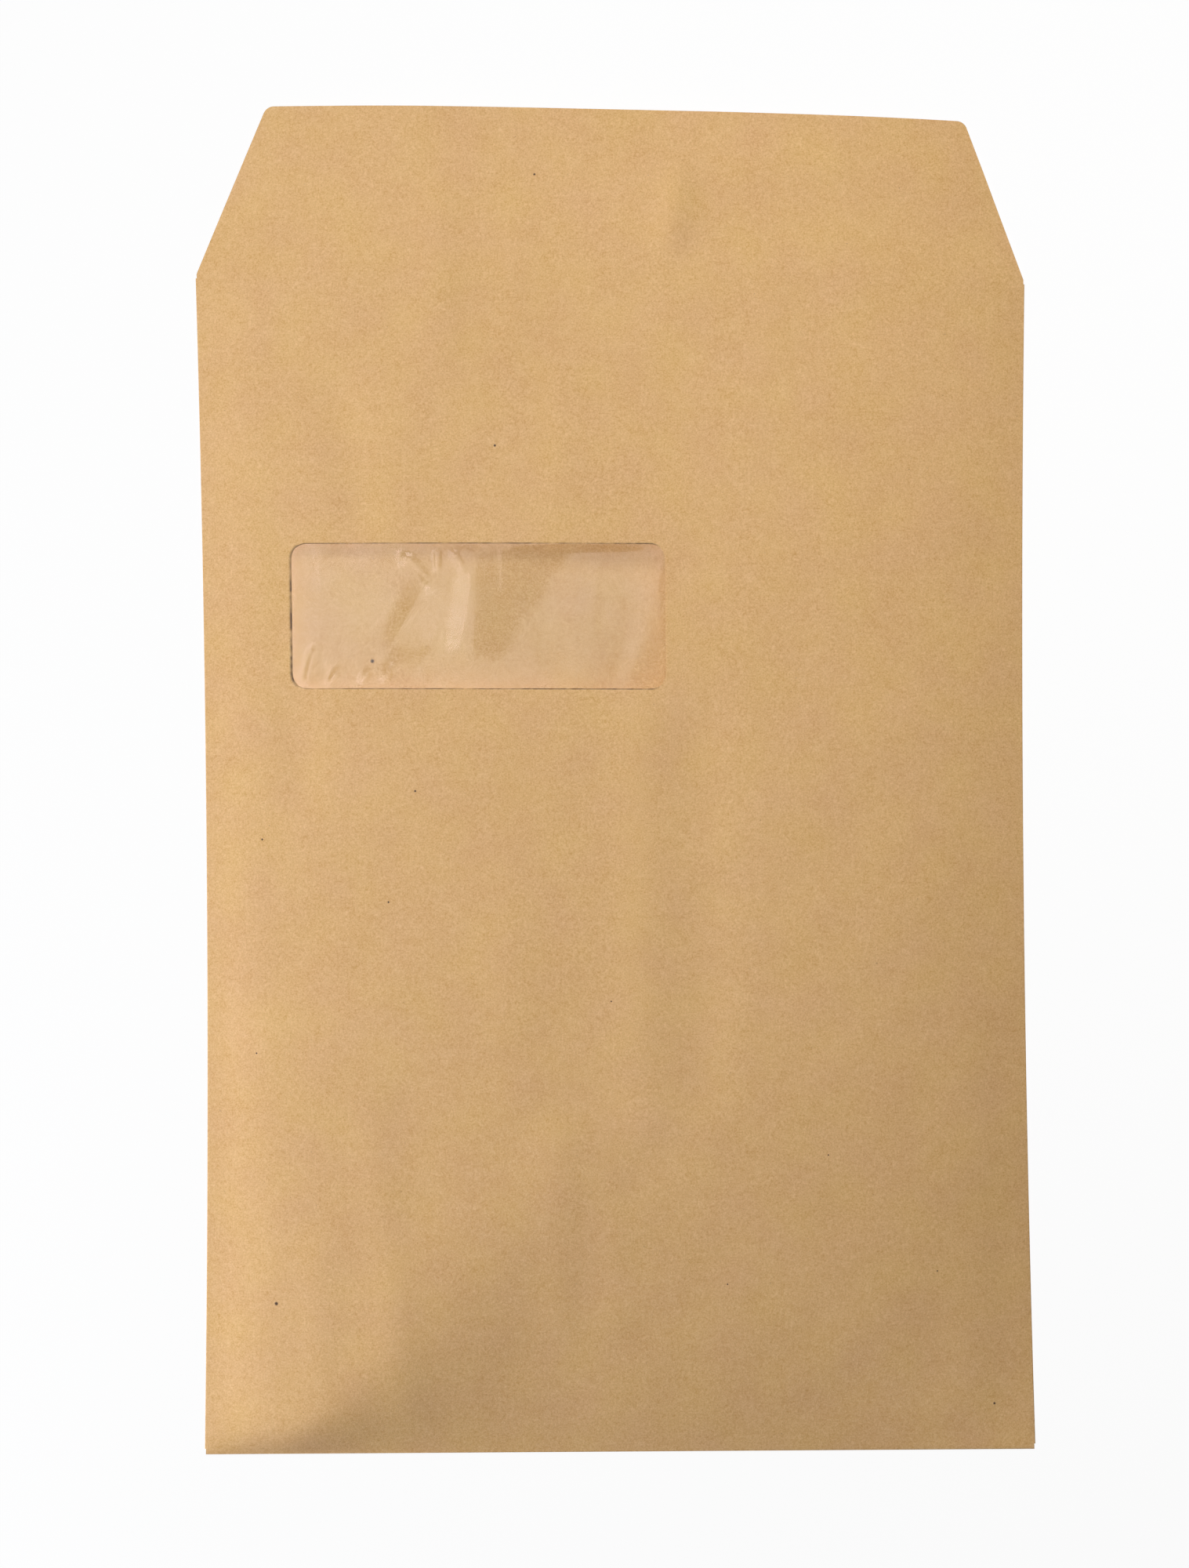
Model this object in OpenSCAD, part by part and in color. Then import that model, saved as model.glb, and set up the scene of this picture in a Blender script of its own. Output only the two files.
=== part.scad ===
// Pocket envelope with a window, for sheets carried flat.
// It lies on its back, window up, with the seal flap opened out flat past the mouth.
// X runs across the pocket, Y from the bottom crease to the flap's tip, Z up from the surface.
// The origin is the middle of the whole outline, on the surface that the envelope lies on.
// One sheet of paper makes the front, the two wings that lap down the back, the bottom flap and
// the seal flap. It is one skin over a grid of rows and columns: the columns run round the pocket
// from one wing to the other, the rows run up its length from the bottom flap to the seal flap.

/* [Pocket] */
// Width across the two side creases
body_w = 229; // [195:1:255]
// Length from the bottom crease to the flap crease
body_l = 324; // [280:1:360]
// Thickness of the paper
paper_t = 0.13; // [0.1:0.01:0.18]
// Height that the front panel's middle rises above its creases
puff_h = 9; // [7:0.5:12]
// Length over which the front panel rises from the bottom crease
puff_rise = 130; // [80:5:160]
// Length over which it rises beside the left side crease, so that a hip runs up from that corner
corner_rise = 25; // [15:5:80]
// Power of both rises: higher is steeper at the bottom crease
rise_power = 3; // [1.5:0.5:4]
// Place of the hip on the left half of the front, as a share of that half
hip_place = 0.45; // [0.3:0.05:0.7]
// Width over which one rise turns into the other, as a share of that half
hip_w = 0.6; // [0.2:0.1:0.6]
// Power of the front panel's arch: higher is flatter on top with steeper sides
puff_power = 3; // [2:0.5:5]
// How far each side crease is drawn in at mid length by the arch
side_bow = 1.8; // [0:0.2:4]

/* [Seal flap] */
// Length from the flap crease to the tip
flap_l = 45; // [30:1:60]
// How far each side comes in from the crease to the tip
flap_shoulder = 18; // [8:1:30]
// Radius of the tip's corners
flap_corner_r = 3; // [1:0.5:8]
// Height of the tip's corners above the surface
flap_corner_lift = 0.8; // [0.3:0.1:1.5]
// Width of the band of dried gum
gum_w = 16; // [8:1:22]
// Bare margin between the gum and the flap's edge
gum_margin = 2; // [1:0.5:4]
// Thickness of the gum
gum_t = 0.03; // [0.02:0.01:0.05]

/* [Back] */
// Width over which the two wings lap
seam_lap = 26; // [12:1:40]
// How far the middle of the lap lies to the right of the pocket's middle
seam_shift = 3; // [-20:1:20]
// Bare margin between the seam's glue and the edges of the lap
seam_glue_margin = 3; // [1:0.5:5]
// Distance of the throat's edge below the flap crease
throat_drop = 12; // [5:1:25]
// Width of the slope at each end of the throat
throat_slope = 14; // [6:1:30]
// Length of the bottom flap
bottom_flap_l = 32; // [20:1:50]
// How far each side of the bottom flap comes in from its crease to its edge
bottom_flap_taper = 9; // [4:1:20]
// Radius of the bottom flap's corners
bottom_flap_r = 5; // [2:1:9]
// Width of the band of glue round the bottom flap
bottom_glue_w = 12; // [6:1:16]

/* [Window] */
// Width of the window
window_w = 102.5; // [60:0.5:110]
// Height of the window
window_h = 39.5; // [25:0.5:60]
// Distance of the window from the left side crease
window_left = 26.5; // [16:0.5:60]
// Distance of the window above the bottom crease
window_up = 210; // [120:0.5:225]
// Radius of the window's corners
window_r = 4; // [2:0.5:8]
// How far the film reaches past the window on each side
film_margin = 10; // [6:0.5:14]
// Thickness of the film
film_t = 0.04; // [0.03:0.01:0.06]
// Bare margin between the film's glue and the window's edge or the film's edge
film_glue_margin = 1.5; // [1:0.5:2.5]
// Width over which the film comes away from the front's curve inside the window's edge
film_ease = 4; // [2:0.5:8]
// Distance from the window's left edge to the ridge of the pleat in the film
pleat_left = 50; // [15:1:55]
// Height of that ridge
pleat_h = 0.5; // [0.2:0.1:1.5]
// Width of the pleat's side to the left of the ridge
pleat_side_w = 5.5; // [3:0.5:12]
// Width of the flat triangle to the right of the ridge, at the window's top edge
pleat_top_w = 31; // [10:1:45]
// Width of the same triangle at the window's bottom edge
pleat_foot_w = 2.5; // [1:0.5:8]
// How far the triangle falls from the ridge to its far corner
pleat_fall = 1.9; // [0.5:0.1:2.5]
// Length over which the film comes up again past the triangle
pleat_back = 12; // [5:1:30]

/* [Folds and glue] */
// Thickness of a line of glue
glue_t = 0.04; // [0.03:0.01:0.06]
// Air left inside a crease, over the thickest stack of layers
crease_gap = 0.06; // [0.04:0.01:0.12]
// Distance of a wing's end from the bottom crease, and of its upper end from the flap crease
wing_relief = 1.2; // [0.8:0.1:3]
// Distance from the edge of a layer to the foot of the step that climbs over it
step_gap = 0.8; // [0.6:0.1:1.5]
// Width of that step
step_w = 2; // [1:0.5:4]

/* [Hidden] */
$fn = 48;

layer = paper_t + glue_t;                       // one sheet and the glue under it
crease_h = 2 * layer + paper_t + crease_gap;    // from the back's mid-surface to the front's
crease_r = crease_h / 2;                        // mid-surface radius of a crease
crease_edge = crease_r + paper_t / 2;           // from a crease's outer edge to its centre
front_base = paper_t / 2 + crease_h;            // mid-surface height of the front at its creases
back_top = 2 * layer + paper_t;                 // top of the thickest stack on the back
total_l = body_l + flap_l;
wing_start = crease_edge + wing_relief;
wing_end = body_l - wing_relief;
throat_y = body_l - throat_drop;
seam_l = seam_shift - seam_lap / 2;             // free edge of the right wing, the outer one
seam_r = seam_shift + seam_lap / 2;             // free edge of the left wing, the inner one
step_foot = bottom_flap_l + step_gap + step_w;  // the wings are down on the surface above this
film_l = window_left - film_margin - body_w / 2;
film_up = window_up - film_margin;
film_size = [window_w + 2 * film_margin, window_h + 2 * film_margin];
tip_half = body_w / 2 - flap_shoulder;
film_tuck = 1;                                  // strip inside the window where the film stays flush
loose_l = window_left - body_w / 2 + film_tuck; // sides of the loose part of the film
loose_r = window_left - body_w / 2 + window_w - film_tuck;
loose_foot = window_up + film_tuck;
loose_top = window_up + window_h - film_tuck;
ridge_x = window_left - body_w / 2 + pleat_left;
trim = 0.3;                                     // paper left past a cut edge, for the cut to take
far = 2 * total_l;                              // reach of a cutting shape past the paper

function mix(a, b, k) = a + (b - a) * k;
function clamp(k) = max(0, min(1, k));
function ease(k) = let (c = clamp(k)) c * c * (3 - 2 * c);
function steps(n) = [for (k = [0:n]) k / n];

// Half the width at y: the side creases are drawn in along a parabola
function half_w(y) = body_w / 2 - side_bow * 4 * clamp(y / body_l) * (1 - clamp(y / body_l));
// Half the front's width between the centres of its side creases
function half_front(y) = half_w(y) - crease_edge;
// Length over which the front rises at u, where u runs from -1 to 1 between the side creases
function rise_l(u) = mix(corner_rise, puff_rise, ease((u + hip_place) / hip_w + 0.5));
// Share of the full height that the front has reached at u and y
function rise(u, y) = 1 - pow(1 - clamp((y - crease_edge) / rise_l(u)), rise_power);
// Share of the full height across the front
function arch(u) = 1 - pow(abs(u), puff_power);
// The open flap comes down until its corners are flap_corner_lift above the surface
flap_drop = front_base + puff_h * arch(tip_half / half_front(body_l)) - paper_t / 2 - flap_corner_lift;
function droop(y) = flap_drop * max(0, y - body_l) / flap_l;
function front_z(u, y) = front_base + puff_h * arch(u) * rise(u, y) - droop(y);
// How far the wings are lifted by the bottom flap under them
function lift(y) = layer * clamp((step_foot - y) / step_w);
// How far the inner wing is lifted by the outer one under it
function lap(x) = layer * clamp((x - seam_l + step_gap + step_w) / step_w);

// Rows up the length, each [kind, place]: kind 0 is the bottom flap, by distance from the bottom
// edge, 1 the bottom crease, by angle, and 2 the body and the seal flap, by distance again
flap_foot = body_l + flap_l / 12;
rows = concat(
    [[0, bottom_flap_l + trim], [0, bottom_flap_l / 2]],
    [for (k = steps(4)) [1, mix(-90, 90, k)]],
    [for (k = steps(5)) [2, mix(wing_start, step_foot - step_w, pow(k, 1.2))]],
    [for (k = steps(12)) [2, mix(step_foot, loose_foot, pow(k, 1.25))]],
    [for (k = [1:7]) [2, mix(loose_foot, loose_top, k / 7)]],
    [for (k = [1:4]) [2, mix(loose_top, throat_y, k / 4)]],
    [[2, wing_end], [2, body_l]],
    [for (k = steps(5)) [2, mix(flap_foot, total_l + trim, k)]]);

// Columns round the pocket, each [kind, place]: -2 and 2 are the left and right wings, by share of
// the way in from the side crease, -1 and 1 the side creases, by angle, and 0 the front, by u.
// A place past 1 on the left wing is the top of its step over the right wing, or its free edge.
window_half = half_front(window_up + window_h / 2);
front_marks = [-1, loose_l / window_half, ridge_x / window_half, loose_r / window_half, 1];
front_counts = [5, 10, 11, 9];
front_us = concat([-1], [for (m = [0:3]) for (k = [1:front_counts[m]])
    mix(front_marks[m], front_marks[m + 1], k / front_counts[m])]);
wing_places = [0, 0.1, 0.3, 0.6, 1];
cols = concat(
    [[-2, 3], [-2, 2]],
    [for (k = [4:-1:0]) [-2, wing_places[k]]],
    [for (k = [1:3]) [-1, mix(-90, 90, k / 4)]],
    [for (u = front_us) [0, u]],
    [for (k = [3:-1:1]) [1, mix(-90, 90, k / 4)]],
    [for (k = [0:4]) [2, wing_places[k]]]);

function wing_x(side, k, y) =
    side > 0 ? mix(half_front(y), seam_l, k) :
    k == 3 ? seam_r :
    k == 2 ? seam_l - step_gap :
    mix(-half_front(y), seam_l - step_gap - step_w, k);

// Where row r meets column c, as [middle of the sheet, direction of its outer side]
function wing_spot(side, k, y) =
    let (x = wing_x(side, k, y))
    [[x, y, paper_t / 2 + lift(y) + (side < 0 ? lap(x) : 0)], [0, 0, -1]];
function side_crease_spot(side, a, y) =
    let (low = paper_t / 2 + lift(y))
    [[side * (half_front(y) + crease_r * cos(a)), y,
      mix(low, front_base, (1 + sin(a)) / 2)], [side * cos(a), 0, sin(a)]];
function front_spot(u, y) = [[u * half_front(y), y, front_z(u, y)], [0, 0, 1]];
function bottom_crease_spot(u, a) =
    [[u * half_front(crease_edge), crease_edge - crease_r * cos(a),
      paper_t / 2 + crease_r * (1 + sin(a))], [0, -cos(a), sin(a)]];
function bottom_flap_spot(u, y) = [[u * half_front(crease_edge), y, paper_t / 2], [0, 0, -1]];
function spot(r, c) =
    r[0] == 0 ? bottom_flap_spot(c[1], r[1]) :
    r[0] == 1 ? bottom_crease_spot(c[1], r[1]) :
    abs(c[0]) == 2 ? wing_spot(sign(c[0]), c[1], r[1]) :
    abs(c[0]) == 1 ? side_crease_spot(sign(c[0]), c[1], r[1]) :
    front_spot(c[1], r[1]);

// The front's columns run the whole length, the others only from wing_start to wing_end
function on_front(c) = c[0] == 0;
function on_wings(r) = r[0] == 2 && r[1] >= wing_start && r[1] <= wing_end;
function is_blank(r0, r1, c0, c1) =
    (on_front(c0) && on_front(c1)) || (on_wings(r0) && on_wings(r1));

// The film's pleat: a slope up to the ridge, a flat triangle down from it, and an exponential
// return past the triangle. It dies out towards the window's edges, where the film lies flush.
function pleat(d, w) =
    d < 0 ? pleat_h * max(0, 1 + d / pleat_side_w) :
    let (low = pleat_h - pleat_fall * min(d, w) / pleat_top_w)
    d < w ? low : low * exp((w - d) / pleat_back);
function film_rise(p) =
    let (inside = min(p[0] - loose_l, loose_r - p[0], p[1] - loose_foot, loose_top - p[1]),
        w = mix(pleat_foot_w, pleat_top_w, (p[1] - window_up) / window_h))
    pleat(p[0] - ridge_x, w) * ease((inside - film_tuck / 2) / film_ease);

// A skin from low to high, measured along the outer direction from the middle of the sheet, over
// the rows rs and columns cs. A cell's corners go round as a b c d, and each side of a cell that
// has no neighbour gets a wall. A slack skin also has the film's pleat.
module skin(rs, cs, low, high, slack = false) {
    nr = len(rs);
    nc = len(cs);
    spots = [for (r = rs) for (c = cs)
        !on_front(c) && !on_wings(r) ? [[0, 0, 0], [0, 0, 0]] :
        let (s = spot(r, c)) slack ? [s[0] + [0, 0, film_rise(s[0])], s[1]] : s];
    top = 0;
    under = nr * nc;
    kept = [for (i = [0:nr - 2]) [for (j = [0:nc - 2])
        is_blank(rs[i], rs[i + 1], cs[j], cs[j + 1])]];
    function has(i, j) = i >= 0 && j >= 0 && i < nr - 1 && j < nc - 1 && kept[i][j];
    function wall(p, q) = [[p, q, q + under], [p, q + under, p + under]];
    faces = [for (i = [0:nr - 2]) for (j = [0:nc - 2]) if (kept[i][j])
        let (a = i * nc + j, b = a + 1, d = a + nc, c = d + 1)
        each concat(
            [[a, d, c], [a, c, b], [a + under, c + under, d + under], [a + under, b + under, c + under]],
            has(i - 1, j) ? [] : wall(a, b),
            has(i, j + 1) ? [] : wall(b, c),
            has(i + 1, j) ? [] : wall(c, d),
            has(i, j - 1) ? [] : wall(d, a))];
    polyhedron(
        points = concat([for (s = spots) s[0] + high * s[1]], [for (s = spots) s[0] + low * s[1]]),
        faces = faces);
}

front_rows = [for (r = rows) if (r[0] == 2) r];
front_cols = [for (c = cols) if (on_front(c)) c];

// A coat that lies under the front or the seal flap, from depth to depth + t below the paper
module undercoat(depth, t, slack = false) {
    skin(front_rows, front_cols, -paper_t / 2 - depth - t, -paper_t / 2 - depth, slack);
}

// Outline of a flap: a trapezoid on a crease along X, with true arcs at its two corners.
// inset moves all its sides in, and the crease's side stays.
module flap_outline(base_half, end_half, len, r, inset = 0) {
    lean = atan((base_half - end_half) / len);
    ri = max(r - inset, 0.5);
    corner_y = len - inset - ri;
    corner_x = mix(base_half, end_half, corner_y / len) - (inset + ri) / cos(lean);
    foot_x = base_half - inset / cos(lean);
    side = [corner_x + ri * cos(lean), corner_y + ri * sin(lean)];
    polygon([[-foot_x, 0], [foot_x, 0], side, [corner_x, corner_y + ri],
        [-corner_x, corner_y + ri], [-side[0], side[1]]]);
    for (s = [-1, 1]) translate([s * corner_x, corner_y]) circle(ri);
}

module seal_flap_outline(inset = 0) {
    translate([0, body_l]) flap_outline(body_w / 2, tip_half, flap_l, flap_corner_r, inset);
}

module bottom_flap_outline(inset = 0) {
    flap_outline(body_w / 2, body_w / 2 - bottom_flap_taper, bottom_flap_l, bottom_flap_r, inset);
}

// A rectangle with true arcs at its corners, from its lower left corner
module rounded_rectangle(size, r) {
    translate([r, 0]) square([size[0] - 2 * r, size[1]]);
    translate([0, r]) square([size[0], size[1] - 2 * r]);
    for (x = [r, size[0] - r]) for (y = [r, size[1] - r]) translate([x, y]) circle(r);
}

module window_outline(grow = 0) {
    translate([window_left - body_w / 2 - grow, window_up - grow])
        rounded_rectangle([window_w + 2 * grow, window_h + 2 * grow], window_r + grow);
}

module between(z0, z1) {
    translate([0, 0, z0]) linear_extrude(z1 - z0) children();
}

module seal_flap_trim() {
    between(-far, far) difference() {
        translate([-far, body_l]) square([2 * far, far]);
        seal_flap_outline();
    }
}

// It ends between the bottom flap and the wings above it, and short of the wings' step
module bottom_flap_trim() {
    between(-far, paper_t + glue_t / 2) difference() {
        translate([-far, 0]) square([2 * far, bottom_flap_l + (trim + step_gap) / 2]);
        bottom_flap_outline();
    }
}

// The throat's edge runs straight across and climbs to the side creases at its ends. The cut
// ends between the wings and the front.
module throat_trim() {
    top_half = half_front(wing_end) - throat_slope / 8;
    between(-far, mix(back_top - layer, crease_h, 0.5))
        polygon([[throat_slope - top_half, throat_y], [top_half - throat_slope, throat_y],
            [top_half, wing_end + trim], [-top_half, wing_end + trim]]);
}

module paper_blank() {
    color("#d2a971") difference() {
        skin(rows, cols, -paper_t / 2, paper_t / 2);
        seal_flap_trim();
        bottom_flap_trim();
        throat_trim();
        between(2 * back_top, far) window_outline();
    }
}

module film_outline(inset = 0) {
    translate([film_l + inset, film_up + inset])
        square([film_size[0] - 2 * inset, film_size[1] - 2 * inset]);
}

module window_film() {
    color("#e6dccf", 0.5) intersection() {
        undercoat(glue_t, film_t, slack = true);
        between(back_top, far) film_outline();
    }
}

module window_glue() {
    color("#f3efe2") intersection() {
        undercoat(0, glue_t);
        between(back_top, far) difference() {
            film_outline(film_glue_margin);
            window_outline(film_glue_margin);
        }
    }
}

module seam_glue() {
    ys = [wing_start + seam_glue_margin, step_foot - step_w, step_foot, throat_y - seam_glue_margin];
    under = [for (y = ys) [y, paper_t + lift(y)]];
    over = [for (k = [3:-1:0]) [ys[k], layer + lift(ys[k])]];
    color("#f3efe2") translate([seam_l + seam_glue_margin, 0, 0]) rotate([90, 0, 90])
        linear_extrude(seam_lap - 2 * seam_glue_margin) polygon(concat(under, over));
}

module bottom_glue() {
    color("#f3efe2") between(paper_t, layer) intersection() {
        difference() {
            bottom_flap_outline(wing_relief);
            bottom_flap_outline(wing_relief + bottom_glue_w);
        }
        translate([-body_w, wing_start + wing_relief]) square([2 * body_w, bottom_flap_l]);
    }
}

module flap_gum() {
    color("#e9d8a8") intersection() {
        undercoat(0, gum_t);
        between(-far, far) intersection() {
            seal_flap_outline(gum_margin);
            translate([-body_w, total_l - gum_margin - gum_w]) square([2 * body_w, gum_w]);
        }
    }
}

module placed() {
    translate([0, -total_l / 2, 0]) children();
}

placed() paper_blank();
placed() window_film();
placed() window_glue();
placed() seam_glue();
placed() bottom_glue();
placed() flap_gum();
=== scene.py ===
import math

import bpy
import numpy as np
from mathutils import Matrix, Vector


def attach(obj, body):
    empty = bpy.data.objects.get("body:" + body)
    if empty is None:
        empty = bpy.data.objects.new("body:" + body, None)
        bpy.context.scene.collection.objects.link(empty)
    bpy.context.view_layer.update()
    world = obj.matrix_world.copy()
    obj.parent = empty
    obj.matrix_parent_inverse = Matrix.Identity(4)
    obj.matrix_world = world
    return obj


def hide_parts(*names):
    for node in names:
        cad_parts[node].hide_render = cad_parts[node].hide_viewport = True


# A buff paper pocket envelope with a film window. It lies on its back, window up, with the seal
# flap opened out flat. X runs across the pocket and Y from the bottom crease to the flap's tip.
# Sizes are in millimetres until a mesh is made. Along the length they are measured from the
# bottom crease, and the mesh is then moved so that the whole envelope is centred.
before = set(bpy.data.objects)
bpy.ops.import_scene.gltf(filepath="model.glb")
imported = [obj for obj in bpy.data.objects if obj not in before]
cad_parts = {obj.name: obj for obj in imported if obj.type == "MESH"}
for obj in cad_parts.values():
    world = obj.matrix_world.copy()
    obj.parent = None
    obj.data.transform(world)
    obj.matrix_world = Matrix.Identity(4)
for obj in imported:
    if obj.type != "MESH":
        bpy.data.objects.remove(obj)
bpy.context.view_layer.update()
mm = 0.001

sheet = {
    "bodyWidth": 229.0,
    "bodyLength": 324.0,
    "thickness": 0.13,
    "glueThickness": 0.04,
    "creaseGap": 0.06,
    "puffHeight": 9.0,  # how far the front's middle stands above its creases
    "puffRise": 130.0,  # length over which it rises from the bottom crease
    "cornerRise": 9.0,  # the same at the left side, so that a hip runs up from that corner
    "risePower": 3.0,
    "hipPlace": 0.45,  # where across the left half one turns into the other
    "hipWidth": 0.75,
    "cornerPress": 0.15,  # share by which the left bottom corner is pressed down
    "cornerHalf": (45.0, 90.0),  # and over which half widths
    "puffPower": 3.0,  # a higher one is flatter on top, with steeper sides
    "sideBow": 1.8,  # how far each side crease is drawn in at mid length
    "outOfSquare": 2.0,  # the flap crease's left end is this far up, its right end this far down
    "flapLength": 45.0,
    "flapOutOfSquare": 1.7,  # the same again for the flap's tip
    "flapShift": 1.9,  # how far the tip lies to the right
    "flapShoulder": 18.2,
    "flapCornerRadius": 3.0,
    "flapCornerLift": 0.8,
    "grooveDepth": 0.07,  # the scored line of the flap's crease
    "grooveHalf": 0.5,
    "seamLap": 26.0,
    "seamShift": 3.0,
    "seamGlueMargin": 3.0,
    "throatDrop": 12.0,
    "throatSlope": 14.0,
    "bottomFlapLength": 32.0,
    "bottomFlapTaper": 9.0,
    "bottomFlapRadius": 5.0,
    "wingRelief": 1.2,
    "frontBumps": [(60, 0.14), (22, 0.05)],  # length and height of the front's soft bumps
    "settle": (10.0, 12.0),  # how near the side creases and the bottom one they die out
    "wingBuckle": 0.5,  # how far the wings stand off the surface in places
    "buckleSize": 70.0,
    "buckleShare": 0.4,  # a higher one leaves less of the wings flat
    "wingSettle": (20.0, 14.0, 20.0),  # how near creases, seam and bottom flap they lie flat
    "backPlace": (-34.0, 230.0),  # where the back bends up under the window
    "backHalf": (55.0, 62.0),
    "backRise": 4.2,
    "backSettle": 60.0,  # how near the bottom flap it lies flat again
    "stepGap": 0.8,
    "stepWidth": 2.0,
    "seed": 21,
}
window = {
    "width": 102.5,
    "height": 39.5,
    "left": 26.5,
    "up": 210.0,
    "radius": 4.0,
    "blend": 9.0,  # how far past a corner the grid is still drawn round
}

layer = sheet["thickness"] + sheet["glueThickness"]
creaseHeight = 2 * layer + sheet["thickness"] + sheet["creaseGap"]
creaseRadius = creaseHeight / 2
creaseEdge = creaseRadius + sheet["thickness"] / 2
frontBase = sheet["thickness"] / 2 + creaseHeight
halfWidth = sheet["bodyWidth"] / 2
bodyLength = sheet["bodyLength"]
totalLength = bodyLength + sheet["flapLength"]
tipHalf = halfWidth - sheet["flapShoulder"]
seamLeft = sheet["seamShift"] - sheet["seamLap"] / 2
seamRight = sheet["seamShift"] + sheet["seamLap"] / 2
lapFoot = seamLeft - sheet["stepGap"] - sheet["stepWidth"]
stepFoot = sheet["bottomFlapLength"] + sheet["stepGap"] + sheet["stepWidth"]
windowX = window["left"] - halfWidth + window["width"] / 2
windowY = window["up"] + window["height"] / 2
windowHalfX = window["width"] / 2
windowHalfY = window["height"] / 2


def mix(a, b, k):
    return a + (b - a) * k


def ease(k):
    # A smooth step from 0 to 1
    k = np.clip(k, 0, 1)
    return k * k * (3 - 2 * k)


def joined(*stretches):
    return np.unique(np.round(np.concatenate(stretches), 4))


def bumps(x, y, size, rng):
    # A sum of 24 plane waves in random directions, each about size long, scaled to about -1 to 1
    total = np.zeros(np.broadcast(x, y).shape)
    for _ in range(24):
        angle = rng.uniform(0, math.pi)
        length = size * rng.uniform(0.7, 1.5)
        wave = (x * math.cos(angle) + y * math.sin(angle)) / length
        total = total + np.sin(2 * math.pi * (wave + rng.uniform()))
    return total / 7


# Soft folds in the front and the seal flap. Each runs from start to end, with its half width
# across and its height: one above 0 is a ridge, one below 0 a valley.
paperFolds = [
    {"start": (-95, -26), "end": (-94, 120), "half": 30.0, "otherHalf": 12.0, "height": 1.2},
    {"start": (-101, 105), "end": (-99, 320), "half": 8.0, "height": 0.35},
    {"start": (-6, 92), "end": (-62, 8), "half": 15.0, "height": 0.6},
    {"start": (-67, 90), "end": (-58, 10), "half": 6.0, "height": 0.3},
    {"start": (-82, 60), "end": (-82, 16), "half": 5.0, "height": 0.2},
    {"start": (-98, 116), "end": (-62, 98), "half": 7.0, "height": 0.35},
    {"start": (-88, 208), "end": (-84, 178), "half": 6.0, "height": -0.4},
    {"start": (8, 207), "end": (7, 85), "half": 7.6, "height": 0.4},
    {"start": (25, 207), "end": (24, 95), "half": 7.0, "height": -0.3},
    {"start": (-30, 168), "end": (-27, 92), "half": 7.0, "height": 0.2},
    {"start": (-16, 92), "end": (-16, 34), "half": 6.0, "height": 0.25},
    {"start": (-1, 82), "end": (-1, 34), "half": 4.0, "height": 0.12},
    {"start": (-14, 301), "end": (-14, 260), "half": 5.0, "height": 0.2},
    {"start": (-47, 348), "end": (-47, 296), "half": 6.0, "height": 0.35},
    {"start": (-26, 338), "end": (-26, 304), "half": 4.0, "height": 0.15},
    {"start": (45, 324), "end": (45, 296), "half": 5.0, "height": 0.15},
    {"start": (10, 352), "end": (9, 328), "half": 13.0, "height": 0.65},
    {"start": (18, 352), "end": (16, 330), "half": 5.0, "height": 0.8},
    {"start": (28, 355), "end": (104, 352), "half": 7.0, "height": 0.35},
    {"start": (38, 357), "end": (66, 356), "half": 6.0, "height": 0.4},
    {"start": (-76, 296), "end": (-68, 252), "half": 7.5, "height": -0.7},
    {"start": (98, 122), "end": (97, 8), "half": 8.0, "height": 0.15},
]


def foldsAt(x, y, folds, profile):
    # The sum of all folds: across each, its profile times its height, and along it a smooth start
    # and end, which are twice as long as its half width if no other fade is given. The side to the
    # left of the way from start to end can have another width.
    total = np.zeros(np.broadcast(x, y).shape)
    for fold in folds:
        (x0, y0), (x1, y1) = fold["start"], fold["end"]
        length = math.hypot(x1 - x0, y1 - y0)
        alongX, alongY = (x1 - x0) / length, (y1 - y0) / length
        along = (x - x0) * alongX + (y - y0) * alongY
        across = (x - x0) * alongY - (y - y0) * alongX
        fade = fold.get("fade", fold["half"])
        ends = ease((along + fade) / (2 * fade)) * ease((length + fade - along) / (2 * fade))
        sides = np.where(across < 0, fold.get("otherHalf", fold["half"]), fold["half"])
        total = total + fold["height"] * profile(across / sides) * ends
    return total


def bell(k):
    return np.exp(-(k**2))


def halfAt(y):
    # The side creases are drawn in along a parabola between the pocket's two ends
    k = np.clip(y / bodyLength, 0, 1)
    return halfWidth - sheet["sideBow"] * 4 * k * (1 - k)


def halfFront(y):
    return halfAt(y) - creaseEdge


def arch(u):
    return 1 - np.abs(u) ** sheet["puffPower"]


def rise(u, y):
    # A power curve up from the bottom crease, shorter towards the left side, less a bell round the
    # left bottom corner
    k = ease((u + sheet["hipPlace"]) / sheet["hipWidth"] + 0.5)
    length = mix(sheet["cornerRise"], sheet["puffRise"], k)
    pressed = bell((u + 1) * halfWidth / sheet["cornerHalf"][0]) * bell(y / sheet["cornerHalf"][1])
    curve = 1 - (1 - np.clip((y - creaseEdge) / length, 0, 1)) ** sheet["risePower"]
    return curve * (1 - sheet["cornerPress"] * pressed)


flapDrop = (
    frontBase
    + sheet["puffHeight"] * float(arch(tipHalf / halfFront(bodyLength)))
    - sheet["thickness"] / 2
    - sheet["flapCornerLift"]
)


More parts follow.
